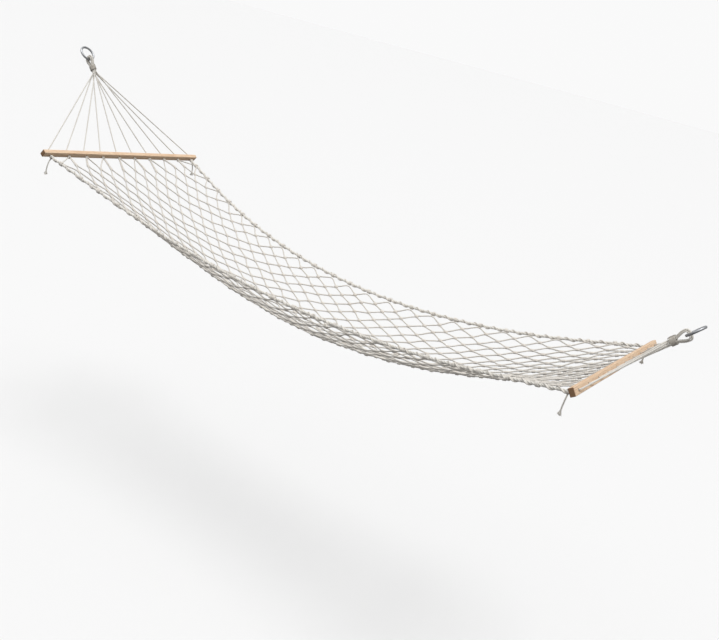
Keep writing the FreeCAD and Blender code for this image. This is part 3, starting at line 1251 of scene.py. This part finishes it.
@dataclass
class Studio:
    """Floor, lights and camera."""

    floor_z: float = -1.6
    floor_size: float = 400.0
    sky_seen: float = 0.95
    sky_light: float = 0.50
    camera_place: tuple[float, float, float] = (2.9872, -2.4988, 0.3823)
    yaw: float = -0.51408
    pitch: float = -0.31583
    roll: float = 0.26458
    focal_share: float = 867.5 / 719.0
    sensor_width: float = 36.0
    far_clip: float = 200.0
    lamps: tuple[Lamp, ...] = (Lamp("key", (0.25, -0.12, 1.0), 24.0, 1.25),
                               Lamp("wash", (-0.2, -0.35, 1.0), 70.0, 0.85))

    def add_floor(self) -> None:
        """A wide pale floor below the hammock."""
        shape = bmesh.new()
        bmesh.ops.create_grid(shape, x_segments=2, y_segments=2, size=self.floor_size / 2)
        bmesh.ops.translate(shape, verts=shape.verts, vec=(HANG.middle_x, 0.0, self.floor_z))
        mesh = bmesh_to_mesh("floor", shape, smooth=False)
        mesh.materials.append(FloorFinish("pale_floor").build())
        floor = bpy.data.objects.new("floor", mesh)
        bpy.context.scene.collection.objects.link(floor)

    def add_lamp(self, lamp: Lamp) -> None:
        """Add a soft light that shines on the middle of the scene."""
        data = bpy.data.lights.new(lamp.name, "SUN")
        data.angle = math.radians(lamp.spread)
        data.energy = lamp.power
        light = bpy.data.objects.new(lamp.name, data)
        light.rotation_euler = (-Vector(lamp.place)).to_track_quat("-Z", "Y").to_euler()
        bpy.context.scene.collection.objects.link(light)

    def add_world(self) -> None:
        """Even white light from all round, shown brighter than it shines."""
        world = bpy.data.worlds.new("studio")
        world.use_nodes = True
        board = NodeBoard(world.node_tree)
        sky = world.node_tree.nodes["Background"]
        sky.inputs["Color"].default_value = (1.0, 1.0, 1.0, 1.0)
        light = board.add("ShaderNodeLightPath")
        extra = board.math("MULTIPLY", light.outputs["Is Camera Ray"], self.sky_seen - self.sky_light)
        board.wire(board.math("ADD", extra, self.sky_light), sky.inputs["Strength"])
        bpy.context.scene.world = world

    def add_camera(self) -> None:
        """The camera, turned by yaw, pitch and roll."""
        data = bpy.data.cameras.new("camera")
        data.sensor_width = self.sensor_width
        data.lens = self.sensor_width * self.focal_share
        data.clip_end = self.far_clip
        camera = bpy.data.objects.new("camera", data)
        ahead = Vector((math.sin(self.yaw) * math.cos(self.pitch),
                        math.cos(self.yaw) * math.cos(self.pitch), math.sin(self.pitch)))
        right = Vector((math.cos(self.yaw), -math.sin(self.yaw), 0.0))
        up = right.cross(ahead)
        leaned = right * math.cos(self.roll) + up * math.sin(self.roll)
        upright = up * math.cos(self.roll) - right * math.sin(self.roll)
        turn = Matrix((leaned, upright, -ahead)).transposed()
        camera.matrix_world = Matrix.Translation(self.camera_place) @ turn.to_4x4()
        bpy.context.scene.collection.objects.link(camera)
        bpy.context.scene.camera = camera

    def build(self) -> None:
        """Set up the whole stage."""
        self.add_floor()
        for lamp in self.lamps:
            self.add_lamp(lamp)
        self.add_world()
        self.add_camera()
        bpy.context.scene.view_settings.view_transform = "Standard"


GRAIN_SHIFT = {End.HEAD: 0.0, End.FOOT: 3.7}


def main() -> None:
    """Build the hammock and its stage."""
    logging.basicConfig(level=logging.INFO, format="%(name)s %(message)s")
    Studio().build()
    cotton = CottonFinish("natural_cotton").build()
    net_cotton = CottonFinish("net_cotton", light=(0.92, 0.89, 0.84), dark=(0.74, 0.68, 0.60)).build()
    knot_cotton = CottonFinish("knot_cotton", lay_turns=9.0).build()
    lump_cotton = CottonFinish("net_knot_cotton", light=(0.89, 0.85, 0.79), dark=(0.68, 0.61, 0.53)).build()
    twine = CottonFinish("binding_twine", light=(0.90, 0.86, 0.79), dark=(0.72, 0.66, 0.56),
                         lay_turns=150.0, strands=2).build()
    steel = PlatedSteelFinish("zinc_plate").build()
    for end, shift in GRAIN_SHIFT.items():
        for side in Side:
            LooseTail(end, side).dress(cotton)
        HangingRing(end).dress(steel)
        Harness(end).dress(cotton)
        Binding(end).dress(twine)
        SpreaderBar(end).dress(PineFinish(f"{end.value}_bar_pine", shift=shift).build())
        StopperKnots(end).dress(knot_cotton)
    for side in Side:
        EdgeRope(side).dress(cotton)
    RopeNet().dress(net_cotton, lump_cotton)


if __name__ == "__main__":
    main()
